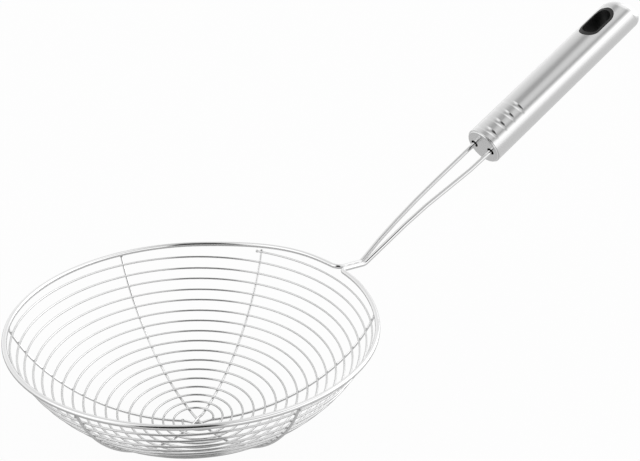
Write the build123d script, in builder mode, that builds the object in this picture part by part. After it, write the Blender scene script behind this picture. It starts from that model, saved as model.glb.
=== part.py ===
"""Spider skimmer: a bowl of spiral wire on a brushed steel handle.

One thick wire is both the rim of the bowl and the two legs that carry it. Three thin rib wires cross
under the bowl and meet the rim from below, and two thin wires wind side by side in a double spiral on
top of the ribs.
The legs go through the front cap of a hollow handle to a disc inside it. Every piece is welded or
pressed into its neighbour, and nothing moves.

Millimetres. +Z is up, the rim is level and the handle rises along +X. The origin is the flat under
the lowest rib, at the middle of the bowl, where the skimmer rests.
"""
import math
import os

from build123d import *

os.makedirs("parts", exist_ok=True)

# Wires and the gap that a weld bead closes between two of them. Each section is a polygon whose
# corners lie on the round of the real wire, so that metres of thin round wire stay light
frame_wire = 2.5
frame_wire_sides = 12
rib_wire = 1.2
rib_wire_sides = 8
coil_wire = 1.0
coil_wire_sides = 6
weld_gap = 0.05

# Bowl
bowl_diameter = 180.0
bowl_depth = 57.2
wall_start_shares = (0.829, 0.564)
rib_outset = 0.35

# Ribs: the ways that the two halves of each one point, and how far it passes the middle of the bowl,
# where they are welded one above the other
cross_rib_angles = (-30.1, 146.9)
left_rib_angles = (85.6, 268.7)
right_rib_angles = (33.9, 205.5)
cross_rib_miss = 0.4
left_rib_miss = -0.5
right_rib_miss = 0.4
hub_gap = 0.15
hub_reach = 7.0
rest_flat_depth = 0.15

# Coils: two wires side by side. Each starts on an end of the cross rib and stops just past an end of
# the right rib. Reaches are distances along the bowl's wall, from the middle outward
coil_start_reach = 7.7
coil_even_reach = 28.9
coil_even_turns = 2
coil_rim_gap = 2.1
coil_overrun_angle = 1.7
coil_whole_turns = 8
turn_step_share = 0.001

# Neck: the rim's two ends turn into one pair of wires side by side
neck_gap = 0.3
neck_length = 17.6
neck_rise_angle = 4.0
far_leave_angle = 20.0
far_bend_radius = 8.0
near_leave_angle = 4.0
near_bend_radius = 3.5
leg_bend_radius = 6.0
leg_rise_angle = 46.0
leg_spread_angle = 7.0
knee_reach = 40.6
knee_height = 18.5
knee_side = 3.6
knee_rise_angle = 27.5
knee_spread_angle = 3.5

# Handle
handle_reach = 99.4
handle_height = 49.3
handle_tilt = 29.5
handle_roll = 7.0
handle_diameter = 22.4
handle_wall = 0.6
tube_end = 124.6

# Front cap
cap_diameter = 21.6
cap_stand_out = 1.2
cap_edge_radius = 0.9
cap_wall = 0.8
cap_skirt = 1.6
leg_hole_diameter = 4.6
leg_spacing = 12.0

# Disc inside the handle that holds the legs
anchor_place = 34.0
anchor_thickness = 2.0
leg_end_stand_out = 1.0

# Grip grooves pressed across the top of the handle
groove_count = 4
groove_first = 5.3
groove_step = 7.4
groove_depth = 0.28
groove_round = 6.0
groove_half_angle = 56.0

# Hanging slot and the plastic liner that its pressed-in lips hold
slot_place = 102.9
slot_length = 21.0
slot_width = 10.5
slot_lip_height = 8.5
slot_lip_angle = 40.0
liner_wall = 1.4
liner_collar = 0.9
liner_rise = 0.6
liner_edge_chamfer = 0.2

# Rear cap
dome_height = 5.0
dome_wall = 0.8
dome_spigot = 4.0
dome_floor_share = 0.3

# Places worked out from the sizes above
rim_radius = (bowl_diameter - frame_wire) / 2
rib_step = rib_wire + hub_gap
rest_height = rib_wire / 2 - rest_flat_depth
bowl_bottom = rest_height + rib_step
rim_height = bowl_bottom + bowl_depth
neck_side = (frame_wire + neck_gap) / 2
leg_bend_place = bowl_diameter / 2 + neck_length
tube_radius = handle_diameter / 2
tube_bore = tube_radius - handle_wall

tilt = math.radians(handle_tilt)
roll = math.radians(handle_roll)
handle_axis = Vector(math.cos(tilt), 0, math.sin(tilt))
handle_up = Vector(-math.sin(tilt), 0, math.cos(tilt))
handle_across = Vector(0, 1, 0) * math.cos(roll) + handle_up * math.sin(roll)
handle_face = Vector(bowl_diameter / 2 + handle_reach, 0, rim_height + handle_height)
handle_plane = Plane(origin=handle_face, x_dir=handle_across, z_dir=handle_axis)
handle_side_plane = Plane(origin=handle_face, x_dir=handle_axis, z_dir=-handle_across)

# Section of the bowl through its middle: x is outward, y is up
with BuildLine() as bowl_section:
    wall_start = (wall_start_shares[0] * rim_radius, wall_start_shares[1] * bowl_depth)
    floor_arc = TangentArc((0, 0), wall_start, tangent=(1, 0))
    TangentArc(wall_start, (rim_radius + rib_outset, bowl_depth), tangent=floor_arc % 1)
bowl_wall = bowl_section.wires()[0]


def wall_point(reach):
    """Point of the bowl's section at a distance along it from the middle."""
    return bowl_wall.position_at(reach, position_mode=PositionMode.LENGTH)


def wall_direction(reach):
    """Direction of the bowl's section there, outward and up."""
    return bowl_wall.tangent_at(reach, position_mode=PositionMode.LENGTH)


def add_biarc(start, start_direction, end, end_direction):
    """Join two points with two arcs that keep the direction given at each point."""
    way = end - start
    both = start_direction + end_direction
    spread = 2 * (1 - start_direction.dot(end_direction))
    along = way.dot(both)
    reach = (math.sqrt(along**2 + spread * way.dot(way)) - along) / spread
    middle = (start + start_direction * reach + end - end_direction * reach) / 2
    first = TangentArc(start, middle, tangent=start_direction)
    TangentArc(middle, end, tangent=first % 1)


# Coils
coil_places = (
    (cross_rib_angles[1], right_rib_angles[0] + coil_overrun_angle),
    (cross_rib_angles[0], right_rib_angles[1] + coil_overrun_angle),
)


def coil_wire_piece(name, start_angle, end_angle):
    """One of the two spiral wires, from its inner end out to the rim."""
    turns = coil_whole_turns + ((end_angle - start_angle) % 360) / 360
    pitch = (bowl_wall.length - coil_rim_gap - coil_even_reach) / (turns - coil_even_turns)

    def point(turn):
        """Centre of the wire, which lies on the inner side of the ribs and is eased in at the middle."""
        reach = coil_even_reach + pitch * (turn - coil_even_turns)
        if turn < coil_even_turns:
            eased = coil_start_reach - coil_even_reach + pitch * coil_even_turns
            reach += eased * (1 - turn / coil_even_turns) ** 2
        wall = wall_point(reach)
        way = wall_direction(reach)
        lift = (rib_wire + coil_wire) / 2 + weld_gap
        out = wall.X - way.Y * lift
        angle = math.radians(start_angle) + turn * math.tau
        return Vector(out * math.cos(angle), out * math.sin(angle), bowl_bottom + wall.Y + way.X * lift)

    def direction(turn):
        """Direction of the wire there."""
        return (point(turn + turn_step_share) - point(turn - turn_step_share)).normalized()

    quarter_turns = [quarter / 4 for quarter in range(math.ceil(turns * 4))] + [turns]
    with BuildPart() as coil:
        with BuildLine() as line:
            Line(point(0) - direction(0) * coil_wire, point(0))
            for turn, next_turn in zip(quarter_turns, quarter_turns[1:]):
                add_biarc(point(turn), direction(turn), point(next_turn), direction(next_turn))
            Line(point(turns), point(turns) + direction(turns) * coil_wire)
        path = line.wires()[0]
        with BuildSketch(Plane(origin=path @ 0, z_dir=path % 0)):
            RegularPolygon(coil_wire / 2, coil_wire_sides)
        sweep(path=path)
    coil.part.label = name
    section = coil_wire_sides * (coil_wire / 2) ** 2 * math.sin(math.tau / coil_wire_sides) / 2
    print(f"{name}: {turns:.2f} turns, pitch {pitch:.2f}, wire {path.length:.0f} long")
    print(f"{name}: volume {coil.part.volume:.0f}, section x length {section * path.length:.0f}")
    samples = 36
    return coil, [point(step / samples) for step in range(int(turns * samples))]


first_coil, first_places = coil_wire_piece("first_coil", *coil_places[0])
second_coil, second_places = coil_wire_piece("second_coil", *coil_places[1])
coil_gap = min((one - other).length - coil_wire for one in first_places for other in second_places)
print(f"coils: least gap between them {coil_gap:.2f}")


# Ribs
def rib(angles, miss, level):
    """One rib wire from rim to rim, lifted or dropped at the hub to clear the ribs it crosses."""
    up = Vector(0, 0, 1)
    ways = [Vector(1, 0, 0).rotate(Axis.Z, angle) for angle in angles]
    along = (ways[0] - ways[1]).normalized()
    middle = up.cross(along) * miss + up * bowl_bottom
    hub = wall_point(hub_reach)
    hub_slope = wall_direction(hub_reach)
    corner_slope = floor_arc % 1
    wall_end_way = wall_direction(bowl_wall.length)
    rim_end = wall_point(bowl_wall.length - frame_wire / 2 - weld_gap - rib_outset * wall_end_way.X)
    with BuildPart() as wire:
        with BuildLine() as line:
            for out, start_way in ((ways[0], along), (ways[1], -along)):
                hub_point = middle + out * hub.X + up * hub.Y
                hub_way = out * hub_slope.X + up * hub_slope.Y
                corner = middle + out * wall_start[0] + up * wall_start[1]
                corner_way = out * corner_slope.X + up * corner_slope.Y
                add_biarc(middle + up * level, start_way, hub_point, hub_way)
                TangentArc(hub_point, corner, tangent=hub_way)
                TangentArc(corner, middle + out * rim_end.X + up * rim_end.Y, tangent=corner_way)
        path = line.wires()[0]
        with BuildSketch(Plane(origin=path @ 0, z_dir=path % 0)):
            RegularPolygon(rib_wire / 2, rib_wire_sides)
        sweep(path=path)
    return wire.part


with BuildPart() as cross_rib_wire:
    add(rib(cross_rib_angles, cross_rib_miss, -rib_step))
    split(bisect_by=Plane.XY, keep=Keep.TOP)
cross_rib_wire.part.label = "cross_rib_wire"

with BuildPart() as left_rib_wire:
    add(rib(left_rib_angles, left_rib_miss, 0))
left_rib_wire.part.label = "left_rib_wire"

with BuildPart() as right_rib_wire:
    add(rib(right_rib_angles, right_rib_miss, rib_step))
right_rib_wire.part.label = "right_rib_wire"


# Rim and legs
def leg_way(side, rise_angle, spread_angle):
    """Direction that rises along +X and spreads to one side."""
    rise = math.radians(rise_angle)
    spread = math.radians(spread_angle)
    flat = math.cos(rise)
    return Vector(flat * math.cos(spread), side * flat * math.sin(spread), math.sin(rise))


def add_leg(side, leave_angle, bend_radius):
    """Half of the neck and one leg, from the rim's circle into the handle."""
    leave = math.radians(leave_angle)
    start = Vector(rim_radius * math.cos(leave), side * rim_radius * math.sin(leave), rim_height)
    inward = Vector(math.sin(leave), -side * math.cos(leave), 0)
    forward = leg_way(side, neck_rise_angle, 0)
    climb = leg_way(side, leg_rise_angle, leg_spread_angle)
    knee_way = leg_way(side, knee_rise_angle, knee_spread_angle)
    neck_corner = start + inward * ((abs(start.Y) - neck_side) / math.cos(leave))
    neck_run = (leg_bend_place - neck_corner.X) / forward.X
    leg_corner = neck_corner + forward * neck_run
    neck_setback = bend_radius * math.tan(math.radians(inward.get_angle(forward)) / 2)
    leg_setback = leg_bend_radius * math.tan(math.radians(forward.get_angle(climb)) / 2)
    neck_start = neck_corner + forward * neck_setback
    neck_end = leg_corner - forward * leg_setback
    climb_start = leg_corner + climb * leg_setback
    Line(start, neck_corner - inward * neck_setback)
    TangentArc(neck_corner - inward * neck_setback, neck_start, tangent=inward)
    Line(neck_start, neck_end)
    TangentArc(neck_end, climb_start, tangent=forward)

    knee = Vector(bowl_diameter / 2 + knee_reach, side * knee_side, rim_height + knee_height)
    hole = handle_plane.from_local_coords((side * leg_spacing / 2, 0, 0))
    leg_end = anchor_place + anchor_thickness + leg_end_stand_out
    add_biarc(climb_start, climb, knee, knee_way)
    add_biarc(knee, knee_way, hole, handle_axis)
    Line(hole, handle_plane.from_local_coords((side * leg_spacing / 2, 0, leg_end)))


with BuildPart() as rim_and_shank_wire:
    with BuildLine() as frame_line:
        add_leg(1, far_leave_angle, far_bend_radius)
        rim_sweep = 360 - far_leave_angle - near_leave_angle
        CenterArc((0, 0, rim_height), rim_radius, far_leave_angle, rim_sweep)
        add_leg(-1, near_leave_angle, near_bend_radius)
    frame_path = frame_line.wires()[0]
    with BuildSketch(Plane(origin=frame_path @ 0, z_dir=frame_path % 0)):
        RegularPolygon(frame_wire / 2, frame_wire_sides)
    sweep(path=frame_path)
rim_and_shank_wire.part.label = "rim_and_shank_wire"
print(f"frame: wire {frame_path.length:.0f} long")


# Handle
def groove_rings(extra):
    """Rings that press the grip grooves, or with a wall's thickness added, the ridges inside."""
    drop = groove_depth * (2 * tube_radius - groove_depth)
    drop /= 2 * (tube_radius * (1 - math.cos(math.radians(groove_half_angle))) - groove_depth)
    ring_radius = tube_radius + drop - groove_depth + groove_round
    ring_axis = Axis(handle_plane.from_local_coords((0, -drop, 0)), handle_axis)
    with BuildPart() as rings:
        for number in range(groove_count):
            with BuildSketch(handle_side_plane):
                with Locations((groove_first + number * groove_step, -drop + ring_radius)):
                    Circle(groove_round + extra)
            revolve(axis=ring_axis)
    return rings.part


def slot_cone(side, grow):
    """The drafted mouth of the slot on one side, from its lip out past the tube."""
    lip = Plane(
        origin=handle_plane.from_local_coords((0, side * slot_lip_height, slot_place)),
        x_dir=handle_axis,
        z_dir=handle_plane.y_dir * side,
    )
    mouth_height = tube_radius
    flare = 2 * mouth_height * math.tan(math.radians(slot_lip_angle))
    with BuildPart() as cone:
        with BuildSketch(lip):
            SlotOverall(slot_length + 2 * grow, slot_width + 2 * grow)
        with BuildSketch(lip.offset(mouth_height)):
            SlotOverall(slot_length + 2 * grow + flare, slot_width + 2 * grow + flare)
        loft(ruled=True)
    return cone.part


with BuildPart() as tube_inside:
    with BuildSketch(handle_plane):
        Circle(tube_bore)
    extrude(amount=tube_end)
    add(groove_rings(handle_wall), mode=Mode.SUBTRACT)
    for side in (1, -1):
        lip_wall = handle_wall / math.cos(math.radians(slot_lip_angle))
        add(slot_cone(side, lip_wall), mode=Mode.SUBTRACT)

with BuildPart() as handle_tube:
    with BuildSketch(handle_plane.offset(cap_stand_out)):
        Circle(tube_radius)
    extrude(amount=tube_end - cap_stand_out)
    add(groove_rings(0), mode=Mode.SUBTRACT)
    for side in (1, -1):
        add(slot_cone(side, 0), mode=Mode.SUBTRACT)
    add(tube_inside.part, mode=Mode.SUBTRACT)
handle_tube.part.label = "handle_tube"

with BuildPart() as handle_front_cap:
    with BuildSketch(handle_plane):
        Circle(cap_diameter / 2)
    extrude(amount=cap_stand_out)
    fillet(handle_front_cap.faces().sort_by(Axis(handle_face, handle_axis))[0].edges(), cap_edge_radius)
    with BuildSketch(handle_plane.offset(cap_stand_out)):
        Circle(tube_bore - weld_gap)
    extrude(amount=cap_skirt)
    with BuildSketch(handle_plane.offset(cap_wall)):
        Circle(tube_bore - weld_gap - cap_wall)
    extrude(amount=cap_stand_out + cap_skirt, mode=Mode.SUBTRACT)
    with BuildSketch(handle_plane):
        with Locations((leg_spacing / 2, 0), (-leg_spacing / 2, 0)):
            Circle(leg_hole_diameter / 2)
    extrude(amount=cap_stand_out, mode=Mode.SUBTRACT)
handle_front_cap.part.label = "handle_front_cap"

with BuildPart() as wire_anchor_disc:
    with BuildSketch(handle_plane.offset(anchor_place)):
        Circle(tube_bore - weld_gap)
        with Locations((leg_spacing / 2, 0), (-leg_spacing / 2, 0)):
            Circle(frame_wire / 2 + weld_gap, mode=Mode.SUBTRACT)
    extrude(amount=anchor_thickness)
wire_anchor_disc.part.label = "wire_anchor_disc"

with BuildPart() as handle_end_cap:
    with BuildSketch(handle_side_plane):
        with BuildLine():
            spigot_radius = tube_bore - weld_gap
            rear = tube_end + dome_height
            add_biarc(Vector(rear, 0), Vector(0, 1), Vector(tube_end, tube_radius), Vector(-1, 0))
            Polyline(
                (tube_end, tube_radius),
                (tube_end, spigot_radius),
                (tube_end - dome_spigot, spigot_radius),
                (tube_end - dome_spigot, spigot_radius - dome_wall),
                (tube_end, spigot_radius - dome_wall),
            )
            Polyline(
                (tube_end, spigot_radius - dome_wall),
                (rear - dome_wall, dome_floor_share * tube_radius),
                (rear - dome_wall, 0),
                (rear, 0),
            )
        make_face()
    revolve(axis=Axis(handle_face, handle_axis))
handle_end_cap.part.label = "handle_end_cap"

slot_plane = Plane(
    origin=handle_plane.from_local_coords((0, 0, slot_place)),
    x_dir=handle_axis,
    z_dir=handle_plane.y_dir,
)
with BuildPart() as hanging_slot_liner:
    with BuildSketch(slot_plane):
        SlotOverall(slot_length - 2 * weld_gap, slot_width - 2 * weld_gap)
    extrude(amount=slot_lip_height + liner_rise, both=True)
    chamfer(hanging_slot_liner.faces().filter_by(slot_plane).edges(), liner_edge_chamfer)
    with BuildSketch(slot_plane):
        SlotOverall(slot_length + 2 * liner_collar, slot_width + 2 * liner_collar)
    extrude(amount=slot_lip_height - weld_gap, both=True)
    with BuildSketch(slot_plane):
        SlotOverall(slot_length - 2 * liner_wall, slot_width - 2 * liner_wall)
    extrude(amount=slot_lip_height + liner_rise, both=True, mode=Mode.SUBTRACT)
hanging_slot_liner.part.label = "hanging_slot_liner"

for piece in (
    rim_and_shank_wire,
    first_coil,
    second_coil,
    cross_rib_wire,
    left_rib_wire,
    right_rib_wire,
    handle_tube,
    handle_front_cap,
    handle_end_cap,
    hanging_slot_liner,
    wire_anchor_disc,
):
    export_step(piece.part, f"parts/{piece.part.label}.step")
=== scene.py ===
# %% [markdown]
# A spider skimmer, dressed for its portrait.
# The skimmer is a bowl of bright wire on a satin steel handle. Its construction is already fixed in a
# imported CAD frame, so this lesson only adds what the eye meets: round drawn wire, spot welds, brushed
# steel, black plastic and the light of a plain white studio.

import math

import bmesh
import bpy
from mathutils import Matrix, Vector


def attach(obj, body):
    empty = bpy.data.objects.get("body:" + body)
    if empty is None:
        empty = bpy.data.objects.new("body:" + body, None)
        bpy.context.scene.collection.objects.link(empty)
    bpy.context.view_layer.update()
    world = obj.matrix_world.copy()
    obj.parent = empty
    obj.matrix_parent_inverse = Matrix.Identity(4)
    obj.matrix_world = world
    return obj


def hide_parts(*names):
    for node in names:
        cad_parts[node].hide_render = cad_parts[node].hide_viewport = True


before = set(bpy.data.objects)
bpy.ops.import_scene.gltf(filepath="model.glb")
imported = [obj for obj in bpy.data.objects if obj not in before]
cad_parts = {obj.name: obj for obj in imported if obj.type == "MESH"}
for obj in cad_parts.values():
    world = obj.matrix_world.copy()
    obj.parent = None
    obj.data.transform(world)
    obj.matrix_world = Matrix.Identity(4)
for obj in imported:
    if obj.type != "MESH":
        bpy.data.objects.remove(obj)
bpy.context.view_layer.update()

# %% [markdown]
# The sizes below are those of the real skimmer. Blender works in metres here, so every length is
# written in millimetres times MM. The names follow the parts of the skimmer, and what can be worked
# out from another size is worked out.

# %% Sizes of the wires and the bowl
MM = 0.001

frame_wire = 2.5 * MM
rib_wire = 1.2 * MM
coil_wire = 1.0 * MM
weld_gap = 0.05 * MM
hub_gap = 0.15 * MM
pressed_flat = 0.15 * MM

bowl_diameter = 180 * MM
bowl_depth = 57.2 * MM
rim_radius = (bowl_diameter - frame_wire) / 2
rib_outset = 0.35 * MM
rib_step = rib_wire + hub_gap
bowl_bottom = rib_wire / 2 - pressed_flat + rib_step
rim_height = bowl_bottom + bowl_depth

# %% [markdown]
# The bowl's section is two arcs that meet without a corner: a shallow floor and a steeper wall. A
# point of it is given by its reach, the distance along the section from the middle of the bowl.

# %% Section of the bowl
wall_start = Vector((0.829 * rim_radius, 0.564 * bowl_depth))
wall_end = Vector((rim_radius + rib_outset, bowl_depth))
floor_turn = 2 * math.atan2(wall_start.y, wall_start.x)
floor_radius = wall_start.length_squared / (2 * wall_start.y)
wall_chord = wall_end - wall_start
wall_turn = 2 * (math.atan2(wall_chord.y, wall_chord.x) - floor_turn)
wall_radius = wall_chord.length / (2 * math.sin(wall_turn / 2))
bowl_reach = floor_radius * floor_turn + wall_radius * wall_turn


def wall_place(reach):
    """Distance from the bowl's axis, height over its bottom, and slope, at a reach."""
    turn = reach / floor_radius
    if turn <= floor_turn:
        return floor_radius * math.sin(turn), floor_radius * (1 - math.cos(turn)), turn
    turn = (reach - floor_radius * floor_turn) / wall_radius
    chord = 2 * wall_radius * math.sin(turn / 2)
    slope = floor_turn + turn / 2
    return wall_start.x + chord * math.cos(slope), wall_start.y + chord * math.sin(slope), floor_turn + turn


print(f"from the middle of the bowl to its rim along the wall: {bowl_reach / MM:.1f} mm")

# %% [markdown]
# A bent wire is a route with one thickness. A route here is a list of points, and two helpers add to
# it: arc_to follows one arc from the route's direction to a point, and biarc_to joins two arcs so that
# it also arrives in a wanted direction. Real wire bends in arcs, because it is pressed round a former.

# %% Routes of bent wire
fine_turn = math.radians(3)
straight_share = 0.001


class Route:
    def __init__(self, start, direction):
        self.points = [Vector(start)]
        self.direction = Vector(direction).normalized()

    def line_to(self, end):
        self.direction = (Vector(end) - self.points[-1]).normalized()
        self.points.append(Vector(end))

    def arc_to(self, end):
        start, along = self.points[-1], self.direction
        chord = end - start
        across = chord - along * chord.dot(along)
        if across.length < straight_share * chord.length:
            self.line_to(end)
            return
        radius = chord.length_squared / (2 * across.length)
        across = across.normalized()
        whole = 2 * math.atan2(chord.dot(across), chord.dot(along))
        steps = max(1, round(whole / fine_turn))
        for step in range(1, steps + 1):
            turn = whole * step / steps
            way = along * math.sin(turn) + across * (1 - math.cos(turn))
            self.points.append(start + way * radius)
        self.direction = along * math.cos(whole) + across * math.sin(whole)

    def biarc_to(self, end, end_direction):
        way = end - self.points[-1]
        both = self.direction + end_direction
        spread = 2 * (1 - self.direction.dot(end_direction))
        along = way.dot(both)
        reach = (math.sqrt(along**2 + spread * way.dot(way)) - along) / spread
        self.arc_to((self.points[-1] + self.direction * reach + end - end_direction * reach) / 2)
        self.arc_to(end)


def eased(share):
    """From 0 to 1 as share goes from 0 to 1, level at both ends."""
    return share * share * (3 - 2 * share)


# %% [markdown]
# A route becomes wire by giving a Blender curve a round bevel. The curve is then turned into a mesh,
# so that the piece has its final faces at once and can be measured like any other.

# %% From a route to a wire


def wire_mesh(name, route, diameter, sides):
    curve = bpy.data.curves.new(name, "CURVE")
    curve.dimensions = "3D"
    curve.bevel_depth = diameter / 2
    curve.bevel_resolution = sides // 2 - 2
    curve.use_fill_caps = True
    spline = curve.splines.new("POLY")
    spline.points.add(len(route) - 1)
    for place, point in zip(spline.points, route):
        place.co = (*point, 1)
    carrier = bpy.data.objects.new(name, curve)
    bpy.context.scene.collection.objects.link(carrier)
    mesh = bpy.data.meshes.new_from_object(carrier.evaluated_get(bpy.context.evaluated_depsgraph_get()))
    bpy.data.objects.remove(carrier)
    bpy.data.curves.remove(curve)
    return mesh


def add_piece(name, mesh, material, replaced=()):
    """Link a finished mesh as a piece of the skimmer, with its finish and the nodes it stands for."""
    mesh.name = name
    for face in mesh.polygons:
        face.use_smooth = True
    piece = bpy.data.objects.new(name, mesh)
    bpy.context.scene.collection.objects.link(piece)
    mesh.materials.clear()
    mesh.materials.append(material)
    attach(piece, "root")
    if replaced:
        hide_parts(*replaced)
    print(f"{name}: {len(mesh.polygons)} faces")


# %% [markdown]
# Materials are built from nodes. To keep the shader maths readable, a small class wraps an output
# socket and overloads the arithmetic operators, so that an expression adds the Math nodes it needs.
# Every other node comes from one method, node, which takes the type, its settings and its inputs.

# %% Shader maths as expressions


class Value:
    def __init__(self, tree, socket):
        self.tree = tree
        self.socket = socket

    def math(self, operation, *others):
        inputs = {0: self, **dict(enumerate(others, 1))}
        return self.tree.node("ShaderNodeMath", {"operation": operation}, inputs)

    def __add__(self, other):
        return self.math("ADD", other)

    def __sub__(self, other):
        return self.math("SUBTRACT", other)

    def __mul__(self, other):
        return self.math("MULTIPLY", other)

    def __truediv__(self, other):
        return self.math("DIVIDE", other)

    def __rsub__(self, other):
        return (self * -1) + other

    __radd__ = __add__
    __rmul__ = __mul__

    def step(self, low, high):
        """0 below low, 1 above high and a smooth rise between them."""
        settings = {"interpolation_type": "SMOOTHSTEP"}
        inputs = {"Value": self, "From Min": low, "From Max": high}
        return self.tree.node("ShaderNodeMapRange", settings, inputs)

    def __getitem__(self, name):
        """Another output of the same node."""
        return Value(self.tree, self.socket.node.outputs[name])


class Tree:
    def __init__(self, owner):
        owner.use_nodes = True
        self.tree = owner.node_tree
        self.tree.nodes.clear()

    def node(self, kind, settings=None, inputs=None):
        made = self.tree.nodes.new(kind)
        for name, value in (settings or {}).items():
            if name == "stops":
                for place, (position, shade) in enumerate(value):
                    stops = made.color_ramp.elements
                    stop = stops[place] if place < len(stops) else stops.new(position)
                    stop.position = position
                    stop.color = (shade, shade, shade, 1)
            else:
                setattr(made, name, value)
        for name, value in (inputs or {}).items():
            if isinstance(value, Value):
                self.tree.links.new(value.socket, made.inputs[name])
            else:
                made.inputs[name].default_value = value
        return Value(self, next(iter(o for o in made.outputs if o.enabled), None) if made.outputs else None)


# %% [markdown]
# Wire is drawn through a die, which leaves it bright, with the faintest uneven polish. Its metal is
# almost white, so what gives it form is what it mirrors. The unevenness is a stretched noise that
# changes the roughness a little and lifts the surface by a few thousandths of a millimetre. The tube
# is brushed along its length, so its grain is drawn out that way, which takes the same nodes with a
# longer and turned noise.

# %% Steel finishes
handle_tilt = math.radians(29.5)


def steel(name, shade, roughness, uneven, grain, bump, turn=(0, 0, 0)):
    """A bare steel: its grey, its roughness, how uneven that is, the grain's size and its relief."""
    tree = Tree(bpy.data.materials.new(name))
    place = tree.node("ShaderNodeTexCoord")["Object"]
    stretch = {0: place, "Rotation": turn, "Scale": grain}
    grain_place = tree.node("ShaderNodeMapping", {"vector_type": "TEXTURE"}, stretch)
    fine = tree.node("ShaderNodeTexNoise", None, {"Vector": grain_place, "Scale": 1.0, "Detail": 3.0})
    cloud = tree.node("ShaderNodeTexNoise", None, {"Vector": place, "Scale": 60.0, "Detail": 2.0})
    rough = (fine - 0.5) * uneven + (cloud - 0.5) * (uneven * 0.6) + roughness
    tone = (fine - 0.5) * (uneven * 0.5) + shade
    colour = tree.node("ShaderNodeCombineColor", None, {"Red": tone, "Green": tone, "Blue": tone})
    relief = tree.node("ShaderNodeBump", None, {"Strength": 1.0, "Distance": bump, "Height": fine})
    finish = {"Base Color": colour, "Metallic": 1.0, "Roughness": rough, "Normal": relief}
    shader = tree.node("ShaderNodeBsdfPrincipled", None, finish)
    tree.node("ShaderNodeOutputMaterial", None, {"Surface": shader})
    print(f"{name}: grey {shade}, roughness {roughness}")
    return bpy.data.materials[name]


bright_wire = steel("bright_frame_wire", 0.80, 0.10, 0.05, (2 * MM, 2 * MM, 2 * MM), 0.002 * MM)
bright_coil = steel("bright_coil_wire", 0.72, 0.12, 0.05, (1 * MM, 1 * MM, 1 * MM), 0.002 * MM)
bright_rib = steel("bright_rib_wire", 0.88, 0.14, 0.05, (1 * MM, 1 * MM, 1 * MM), 0.002 * MM)
weld_steel = steel("spot_weld_steel", 0.55, 0.3, 0.2, (0.3 * MM, 0.3 * MM, 0.3 * MM), 0.02 * MM)
satin_tube = steel(
    "satin_brushed_tube", 0.72, 0.19, 0.08, (9 * MM, 0.12 * MM, 0.12 * MM), 0.003 * MM, (0, -handle_tilt, 0)
)
satin_cap = steel("satin_front_cap", 0.74, 0.26, 0.10, (0.3 * MM, 0.3 * MM, 0.3 * MM), 0.003 * MM)
satin_end = steel("satin_end_cap", 0.73, 0.24, 0.10, (0.3 * MM, 0.3 * MM, 0.3 * MM), 0.003 * MM)
plain_disc = steel("plain_anchor_disc", 0.60, 0.35, 0.10, (0.5 * MM, 0.5 * MM, 0.5 * MM), 0.003 * MM)

# %% [markdown]
# The liner of the hanging slot is moulded black plastic. A mould with a fine texture leaves it matt, so
# its noise is small and works on the roughness more than on the colour.

# %% Black plastic of the liner


def moulded_plastic(name):
    tree = Tree(bpy.data.materials.new(name))
    place = tree.node("ShaderNodeTexCoord")["Object"]
    fine = tree.node("ShaderNodeTexNoise", None, {"Vector": place, "Scale": 2500.0, "Detail": 2.0})
    rough = (fine - 0.5) * 0.15 + 0.45
    tone = (fine - 0.5) * 0.006 + 0.012
    colour = tree.node("ShaderNodeCombineColor", None, {"Red": tone, "Green": tone, "Blue": tone})
    relief = tree.node("ShaderNodeBump", None, {"Strength": 1.0, "Distance": 0.01 * MM, "Height": fine})
    finish = {"Base Color": colour, "Roughness": rough, "Normal": relief}
    shader = tree.node("ShaderNodeBsdfPrincipled", None, finish)
    tree.node("ShaderNodeOutputMaterial", None, {"Surface": shader})
    print(f"{name}: {len(tree.tree.nodes)} nodes")
    return bpy.data.materials[name]


liner_black = moulded_plastic("moulded_black_liner")

# %% [markdown]
# One thick wire makes the rim and the two legs. It starts inside the handle, comes down one leg, turns
# out at the neck, goes once round the rim and returns up the other leg. The rim rises a little where it
# comes to the neck, probably from the pull of the legs, and the neck drops again towards the legs.

# %% Handle's own axes
handle_reach = 99.4 * MM
handle_height = 49.3 * MM
handle_axis = Vector((math.cos(handle_tilt), 0, math.sin(handle_tilt)))
handle_up = Vector((-math.sin(handle_tilt), 0, math.cos(handle_tilt)))
handle_roll = math.radians(7)
handle_across = Vector((0, 1, 0)) * math.cos(handle_roll) + handle_up * math.sin(handle_roll)
handle_face = Vector((bowl_diameter / 2 + handle_reach, 0, rim_height + handle_height))
leg_spacing = 12 * MM
leg_inside = 37 * MM

# %% Rim and legs
rim_lift = 2.8 * MM
lift_middle, lift_level, lift_fade = 6, 8, 42
neck_gap = 0.3 * MM
neck_length = 15 * MM
neck_rise = -3.5
leg_bend_radius = 4 * MM
leg_rise, leg_spread = 34, 8
knee_reach, knee_side, knee_height = 40.6 * MM, 3.5 * MM, 18.4 * MM
knee_rise, knee_spread = 31, 3.4
far_leave, far_bend_radius = 6, 5 * MM
near_leave, near_bend_radius = 5, 3.5 * MM
rim_steps = 112
neck_side = (frame_wire + neck_gap) / 2
leg_bend_place = bowl_diameter / 2 + neck_length


def rim_place(degrees):
    """Centre of the rim's wire at an angle round the bowl, with its lift towards the neck."""
    aside = abs((degrees - lift_middle + 180) % 360 - 180)
    share = min(1, max(0, (aside - lift_level) / lift_fade))
    lift = rim_lift * (1 - eased(share))
    angle = math.radians(degrees)
    return Vector((rim_radius * math.cos(angle), rim_radius * math.sin(angle), rim_height + lift))


def leg_way(side, rise, spread):
    """Direction that rises along +X and spreads to one side, from two angles in degrees."""
    rise, spread = math.radians(rise), math.radians(spread)
    flat = math.cos(rise)
    return Vector((flat * math.cos(spread), side * flat * math.sin(spread), math.sin(rise)))


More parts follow.
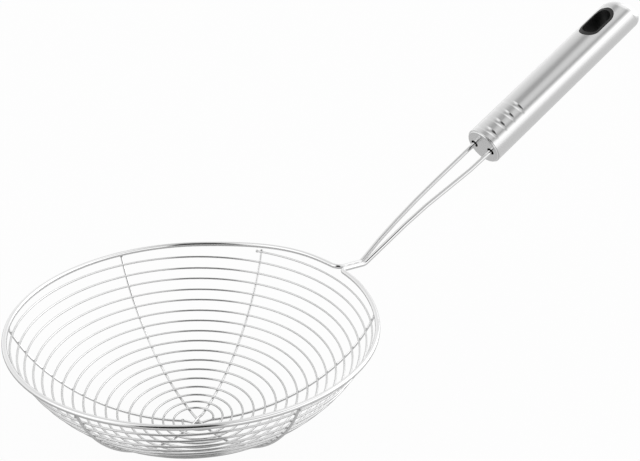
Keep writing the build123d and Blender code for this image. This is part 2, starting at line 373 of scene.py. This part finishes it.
def leg_route(side, leave_angle, bend_radius):
    """From the rim's circle through the neck, over the knee and up the leg into the handle."""
    leave = math.radians(leave_angle)
    start = rim_place(side * leave_angle)
    inward = Vector((math.sin(leave), -side * math.cos(leave), 0))
    forward, climb = leg_way(side, neck_rise, 0), leg_way(side, leg_rise, leg_spread)
    neck_corner = start + inward * ((abs(start.y) - neck_side) / math.cos(leave))
    leg_corner = neck_corner + forward * ((leg_bend_place - neck_corner.x) / forward.x)
    neck_setback = bend_radius * math.tan(inward.angle(forward) / 2)
    leg_setback = leg_bend_radius * math.tan(forward.angle(climb) / 2)
    route = Route(start, inward)
    route.line_to(neck_corner - inward * neck_setback)
    route.arc_to(neck_corner + forward * neck_setback)
    route.line_to(leg_corner - forward * leg_setback)
    route.arc_to(leg_corner + climb * leg_setback)
    knee = Vector((bowl_diameter / 2 + knee_reach, side * knee_side, rim_height + knee_height))
    hole = handle_face + handle_across * (side * leg_spacing / 2)
    route.biarc_to(knee, leg_way(side, knee_rise, knee_spread))
    route.biarc_to(hole, handle_axis)
    route.line_to(hole + handle_axis * leg_inside)
    return route.points


far_leg = leg_route(1, far_leave, far_bend_radius)
near_leg = leg_route(-1, near_leave, near_bend_radius)
rim_sweep = 360 - far_leave - near_leave
rim_points = [rim_place(far_leave + rim_sweep * step / rim_steps) for step in range(1, rim_steps)]
rim_mesh = wire_mesh("rim_and_legs", far_leg[::-1] + rim_points + near_leg, frame_wire, 24)
add_piece("rim_and_legs", rim_mesh, bright_wire, ["rim_and_shank_wire"])

# %% [markdown]
# Two thin wires wind outward side by side, as the two threads of a double-start screw do, so each one
# leaves room for the other between its turns. The reach of each grows by the same pitch on each turn,
# after two turns that ease away from the middle, and it lies on the inner side of the ribs.

# %% Coils
cross_rib_ways = (-30.1, 146.9)
left_rib_ways = (85.6, 268.7)
right_rib_ways = (33.9, 205.5)
start_reach = 7.7 * MM
even_reach = 28.9 * MM
even_turns = 2
end_gap = 2.1 * MM
past_rib = 1.7
coil_lift = (rib_wire + coil_wire) / 2 + weld_gap
steps_per_turn = 96


class Coil:
    def __init__(self, start_angle, end_angle):
        self.start_angle = start_angle
        self.turns = 8 + ((end_angle - start_angle) % 360) / 360
        self.pitch = (bowl_reach - end_gap - even_reach) / (self.turns - even_turns)

    def reach(self, turn):
        ahead = start_reach - even_reach + even_turns * self.pitch
        early = max(0, 1 - turn / even_turns)
        return even_reach + self.pitch * (turn - even_turns) + ahead * early**2

    def inward(self, turn):
        """Square to the bowl's wall, towards the inside of the bowl."""
        slope = wall_place(self.reach(turn))[2]
        angle = math.radians(self.start_angle) + turn * math.tau
        level = math.sin(slope)
        return Vector((-level * math.cos(angle), -level * math.sin(angle), math.cos(slope)))

    def point(self, turn):
        out, height, _ = wall_place(self.reach(turn))
        angle = math.radians(self.start_angle) + turn * math.tau
        on_wall = Vector((out * math.cos(angle), out * math.sin(angle), bowl_bottom + height))
        return on_wall + self.inward(turn) * coil_lift

    def route(self):
        steps = round(self.turns * steps_per_turn)
        return [self.point(self.turns * step / steps) for step in range(steps + 1)]


coils = {
    "first_coil": Coil(cross_rib_ways[1], right_rib_ways[0] + past_rib),
    "second_coil": Coil(cross_rib_ways[0], right_rib_ways[1] + past_rib),
}
for node, coil in coils.items():
    name = node.replace("coil", "spiral")
    add_piece(name, wire_mesh(name, coil.route(), coil_wire, 10), bright_coil, [node])
    print(f"{name}: {coil.turns:.2f} turns, pitch {coil.pitch / MM:.2f} mm")

# %% [markdown]
# Three ribs carry the coils. They cross at the bottom of the bowl, one above the other, and each passes
# the middle by a little, because no welder hits it exactly. The two halves of a rib don't quite point
# opposite ways either, so each half follows its own. The welding electrode has pressed a small flat
# under the lowest one, at the height of the worktop.

# %% Ribs
hub_reach = 7 * MM
rib_end_reach = bowl_reach - frame_wire / 2 - weld_gap - rib_outset
rib_steps = 60


def rib_route(ways, miss, level):
    ways = [Vector((math.cos(math.radians(way)), math.sin(math.radians(way)), 0)) for way in ways]
    along = (ways[0] - ways[1]).normalized()
    middle = Vector((-along.y, along.x, 0)) * miss
    points = []
    for step in range(-rib_steps, rib_steps + 1):
        reach = abs(step) / rib_steps * rib_end_reach
        out, height, _ = wall_place(reach)
        drop = level * (1 - eased(min(1, reach / hub_reach)))
        way = ways[0] if step > 0 else ways[1]
        points.append(middle + way * out + Vector((0, 0, bowl_bottom + height + drop)))
    return points


ribs = {
    "cross_rib": (cross_rib_ways, 0.4 * MM, -rib_step),
    "left_rib": (left_rib_ways, -0.5 * MM, 0),
    "right_rib": (right_rib_ways, 0.4 * MM, rib_step),
}
rib_ends = []
for name, rib in ribs.items():
    route = rib_route(*rib)
    rib_ends += [route[0], route[-1]]
    mesh = wire_mesh(name, route, rib_wire, 12)
    for vertex in mesh.vertices:
        vertex.co.z = max(0, vertex.co.z)
    add_piece(name, mesh, bright_rib, [name + "_wire"])

# %% [markdown]
# Where a coil crosses a rib, a spot weld has pressed the wires together and left a small dull nugget.
# One nugget is a squashed sphere, and it is repeated at every crossing, where the ribs cross at the
# bottom and where their ends meet the rim. The neck is closed by a longer bead between its two wires.
# Each size below is half the nugget's length, width and height, in millimetres.

# %% Spot welds
crossing_weld = (0.6, 0.6, 0.4)
coil_end_weld = (0.8, 0.8, 0.6)
rib_end_weld = (0.75, 0.75, 1.1)
hub_weld = (0.8, 0.8, 0.4)
neck_weld = (2.4, 0.5, 0.5)
coil_end_sink = 0.4
rib_end_shift = 0.3 * MM
bead_rise = 0.5 * MM
upright = Vector((0, 0, 1))


def add_nugget(welds, centre, size, facing=upright):
    turned = facing.to_track_quat("Z", "Y").to_matrix().to_4x4()
    stretched = Matrix.Diagonal((*(half * MM for half in size), 1))
    matrix = Matrix.Translation(centre) @ turned @ stretched
    bmesh.ops.create_icosphere(welds, subdivisions=2, radius=1, matrix=matrix)


welds = bmesh.new()
for coil in coils.values():
    for spoke in cross_rib_ways + left_rib_ways + right_rib_ways:
        turn = ((spoke - coil.start_angle) % 360) / 360
        while turn <= coil.turns:
            centre = coil.point(turn) - coil.inward(turn) * (coil_wire / 2)
            add_nugget(welds, centre, crossing_weld, coil.inward(turn))
            turn += 1
    for turn in (0, coil.turns):
        centre = coil.point(turn) - coil.inward(turn) * (coil_wire * coil_end_sink)
        add_nugget(welds, centre, coil_end_weld, coil.inward(turn))
for end in rib_ends:
    outward = Vector((end.x, end.y, 0)).normalized()
    add_nugget(welds, end + outward * rib_end_shift, rib_end_weld, outward)
for level in (-0.5, 0.5):
    add_nugget(welds, Vector((0, 0, bowl_bottom + level * rib_step)), hub_weld)
bead_start = Vector((rim_radius + 5 * MM, 0, rim_height + 2.4 * MM))
bead_end = Vector((leg_bend_place - 2 * MM, 0, rim_height + 2 * MM))
for share in (0.25, 0.75):
    for side in (-1, 1):
        centre = (1 - share) * bead_start + share * bead_end + upright * (side * bead_rise)
        add_nugget(welds, centre, neck_weld)
weld_mesh = bpy.data.meshes.new("spot_welds")
welds.to_mesh(weld_mesh)
welds.free()
add_piece("spot_welds", weld_mesh, weld_steel)

# %% [markdown]
# A piece that departs from its CAD shape in one place only is easiest made from a copy of its mesh.
# The copy is merged first, because a CAD mesh comes as loose triangles, and then a rule moves its
# points. The node itself stays as it is, and the copy stands for it.

# %% Reshaped copies


def reshaped_copy(node, ending, material, moved):
    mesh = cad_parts[node].data.copy()
    shape = bmesh.new()
    shape.from_mesh(mesh)
    bmesh.ops.remove_doubles(shape, verts=shape.verts, dist=0.001 * MM)
    for vert in shape.verts:
        vert.co = moved(vert.co)
    shape.to_mesh(mesh)
    shape.free()
    add_piece(node + ending, mesh, material, [node])
    return mesh


# %% [markdown]
# The far end of the handle is a little fuller and more slanted than a turned dome, probably because it
# was ground by hand after its cap was welded in. So the tube and the cap are sheared along the handle
# past the slot, which keeps every cross section as it was. The tube's wall is made of long flat strips,
# so each of their corners is given the exact normal of a round tube.

# %% Far end of the handle
turned_end = 124.6 * MM
ground_end = 120.7 * MM
dome_stretch = 1.30
slant_up, slant_across = 3.0, 2.0
tube_radius = 11.2 * MM
slot_end = 116 * MM
cap_crease = math.radians(16)
side_lean = 0.03
side_facing = 0.9


def ground(place):
    """Where a point of the turned end comes to by grinding, which stops short of the slot."""
    offset = place - handle_face
    along = offset.dot(handle_axis)
    if along < slot_end:
        return place
    slant = (slant_up * offset.dot(handle_up) + slant_across * offset.y) / tube_radius * MM
    past = max(0, along - turned_end)
    ended = along + ground_end - turned_end + past * (dome_stretch - 1) - slant
    return place + handle_axis * (max(slot_end, ended) - along)


def ground_copy(node, material):
    mesh = reshaped_copy(node, "_ground", material, ground)
    mesh.set_sharp_from_angle(angle=cap_crease)
    normals = [Vector(corner.vector) for corner in mesh.corner_normals]
    for face in mesh.polygons:
        for corner in face.loop_indices:
            offset = mesh.vertices[mesh.loops[corner].vertex_index].co - handle_face
            radial = (offset - handle_axis * offset.dot(handle_axis)).normalized()
            if abs(face.normal.dot(handle_axis)) < side_lean and face.normal.dot(radial) > side_facing:
                normals[corner] = radial
    mesh.normals_split_custom_set(normals)


ground_copy("handle_tube", satin_tube)
ground_copy("handle_end_cap", satin_end)

# %% [markdown]
# The liner's rim lies level with the tube and hides the lip of the slot, as if it had been pressed
# outward into the flared mouth. So the edges of its two mouths are moved there. The slot is a straight
# middle line with a round end at each side, and a point is moved away from the nearest point of that
# line. How far out it goes and how high the tube is there depend on each other, and a few rounds
# settle that.

# %% Liner of the slot
slot_centre = handle_face + handle_axis * (102.9 * MM)
slot_up = handle_axis.cross(handle_across)
slot_core = 5.25 * MM
lip_height = 8.5 * MM
lip_flare = math.tan(math.radians(40))
liner_top = 9.1 * MM
liner_sunk = 0.15 * MM
rim_edge = 8.6 * MM
hole_edge = 4.2 * MM
hole_gain = 0.9 * MM


def fitted(place):
    """Where a point of the liner comes to when its rim is pressed into the mouth of the slot."""
    offset = place - slot_centre
    along, across, height = (offset.dot(way) for way in (handle_axis, handle_across, slot_up))
    if abs(height) < rim_edge:
        return place
    middle = max(-slot_core, min(slot_core, along))
    radius = math.hypot(along - middle, across)
    wider = radius + hole_gain
    for _ in range(4):
        tube_height = math.sqrt(tube_radius**2 - (across * wider / radius) ** 2)
        top = tube_height - liner_sunk - liner_top + abs(height)
        if radius > hole_edge:
            wider = radius + (top - lip_height) * lip_flare
    grow = wider / radius
    level = slot_centre + handle_axis * (middle + (along - middle) * grow) + handle_across * (across * grow)
    return level + slot_up * math.copysign(top, height)


liner_mesh = reshaped_copy("hanging_slot_liner", "_fitted", liner_black, fitted)
liner_mesh.set_sharp_from_angle(angle=math.radians(30))

# %% [markdown]
# The front cap and the disc inside the handle keep their CAD shapes, so they only get their finish.

# %% Finish of the other pieces of the handle
for node, material in {"handle_front_cap": satin_cap, "wire_anchor_disc": plain_disc}.items():
    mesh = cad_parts[node].data
    mesh.materials.clear()
    mesh.materials.append(material)
    print(f"{node}: {material.name}")

# %% [markdown]
# The studio is a pale floor under a bright sky. Steel shows nothing but its surroundings, so these are
# drawn with care, while camera rays see plain white instead, which is the background. The floor that
# the steel mirrors has painted shade: its glow is dimmer near the bowl, as a table is under an object,
# and brightens out to two metres. The floor also keeps a faint shadow.

# %% Floor
floor_mesh = bpy.data.meshes.new("floor")
sheet = bmesh.new()
bmesh.ops.create_grid(sheet, x_segments=1, y_segments=1, size=6)
sheet.to_mesh(floor_mesh)
sheet.free()
floor = bpy.data.objects.new("floor", floor_mesh)
bpy.context.scene.collection.objects.link(floor)
# Centre of the painted shade on the floor, near the bowl.
painted_shade_centre = (-60 * MM, 60 * MM, 0)
tree = Tree(bpy.data.materials.new("pale_paper"))
rays = tree.node("ShaderNodeLightPath")
place = tree.node("ShaderNodeTexCoord")["Object"]
apart = tree.node("ShaderNodeVectorMath", {"operation": "DISTANCE"}, {0: place, 1: painted_shade_centre})["Value"]
# Painted shade: the floor's glow for glossy rays is dimmer within about 0.35 m of this centre and rises a
# little more out to 2 m.
floor_glow_with_painted_shade = apart.step(0.12, 0.35) * 0.34 + apart.step(0.5, 2) * 0.2 + 0.4
paper = tree.node("ShaderNodeBsdfDiffuse", None, {"Color": (0.85, 0.85, 0.85, 1)})
strength = rays["Is Camera Ray"] + rays["Is Glossy Ray"] * floor_glow_with_painted_shade
white = tree.node("ShaderNodeEmission", None, {"Color": (1, 1, 1, 1), "Strength": strength})
share = rays["Is Camera Ray"] * 0.93 + rays["Is Glossy Ray"] * 0.8
seen = tree.node("ShaderNodeMixShader", None, {0: share, 1: paper, 2: white})
tree.node("ShaderNodeOutputMaterial", None, {"Surface": seen})
floor_mesh.materials.append(bpy.data.materials["pale_paper"])
print(f"floor: {floor.dimensions.x:.0f} m across")

# %% [markdown]
# The sky is given by its height over the horizon and its bearing from the front, both in degrees. It
# has a large soft box low on the right with a dark strip and a dimmer sky over it, a plainer sky behind
# and on the left, and a dark card in front, which draws the dark band on the wires that run across the
# view. A low box and two tall wings at the sides lighten the wires to the left and right of that band.

# %% Sky of the studio
world = bpy.data.worlds.new("studio")
bpy.context.scene.world = world
tree = Tree(world)
direction = tree.node("ShaderNodeSeparateXYZ", None, {0: tree.node("ShaderNodeTexCoord")["Generated"]})
height = direction["Z"].math("ARCSINE") * (180 / math.pi)
front = math.radians(-120)
beside = direction["X"] * -math.sin(front) + direction["Y"] * math.cos(front)
before = direction["X"] * math.cos(front) + direction["Y"] * math.sin(front)
bearing = beside.math("ARCTAN2", before) * (180 / math.pi)


def by_height(*stops):
    """Light that changes with the height over the horizon."""
    stops = [(degrees / 90, light / 2) for degrees, light in stops]
    return tree.node("ShaderNodeValToRGB", {"stops": stops}, {0: height / 90}) * 2


def window(value, low, high, soft):
    return value.step(low - soft, low + soft) * (1 - value.step(high - soft, high + soft))


right_box = (0, 1.15), (9, 1.3), (20, 1.5), (27, 1.3)
right_strip = (32, 0.8), (37, 0.5), (44, 0.5), (50, 0.75)
right_top = (60, 0.85), (72, 0.82), (80, 0.6), (86, 0.42)
right = by_height(*right_box, *right_strip, *right_top)
behind = by_height((0, 1.15), (34, 0.95), (60, 0.8), (72, 0.62), (80, 0.46))
left = by_height((0, 1.0), (30, 1.0), (70, 0.75), (84, 0.45))
low_box = window(bearing, 95, 142, 6) * window(height, -10, 48, 6)
on_right = window(bearing, 14, 130, 8)
on_left = window(bearing, -130, -20, 8)
card = window(bearing, -36, 14, 5) * window(height, -90, 70, 6)
light = right * on_right + left * on_left + behind * (1 - on_right - on_left)
right_wing = window(bearing, 62, 150, 12) * window(height, 12, 80, 8)
left_wing = window(bearing, -96, -50, 10) * window(height, 10, 80, 8)
light = (light + low_box * 0.6 + right_wing * 0.4 + left_wing * 0.4) * (1 - card * 0.97)
rays = tree.node("ShaderNodeLightPath")
strength = light * (1 - rays["Is Camera Ray"]) + rays["Is Camera Ray"]
background = tree.node("ShaderNodeBackground", None, {"Color": (1, 1, 1, 1), "Strength": strength})
tree.node("ShaderNodeOutputWorld", None, {"Surface": background})
print(f"sky: {len(tree.tree.nodes)} nodes")

# %% [markdown]
# The camera looks down on the skimmer from the front left, as one does at a table. A long lens keeps
# the far side of the bowl nearly as large as the near one.

# %% Camera
camera_data = bpy.data.cameras.new("camera")
camera = bpy.data.objects.new("camera", camera_data)
bpy.context.scene.collection.objects.link(camera)
camera.location = (-236.48 * MM, -410.44 * MM, rim_height + 263.02 * MM)
aim = Vector((75.93 * MM, 0, 87.43 * MM)) - camera.location
camera.rotation_mode = "QUATERNION"
camera_roll = math.radians(0.6456)
looking = aim.to_track_quat("-Z", "Y").to_matrix() @ Matrix.Rotation(camera_roll, 3, "Z")
camera.rotation_quaternion = looking.to_quaternion()
camera_data.sensor_width = 36
camera_data.lens = 62.454
camera_data.clip_start = 0.01
camera_data.clip_end = 50
bpy.context.scene.camera = camera
bpy.context.scene.view_settings.view_transform = "Standard"
print(f"camera: {aim.length / MM:.0f} mm from what it looks at")
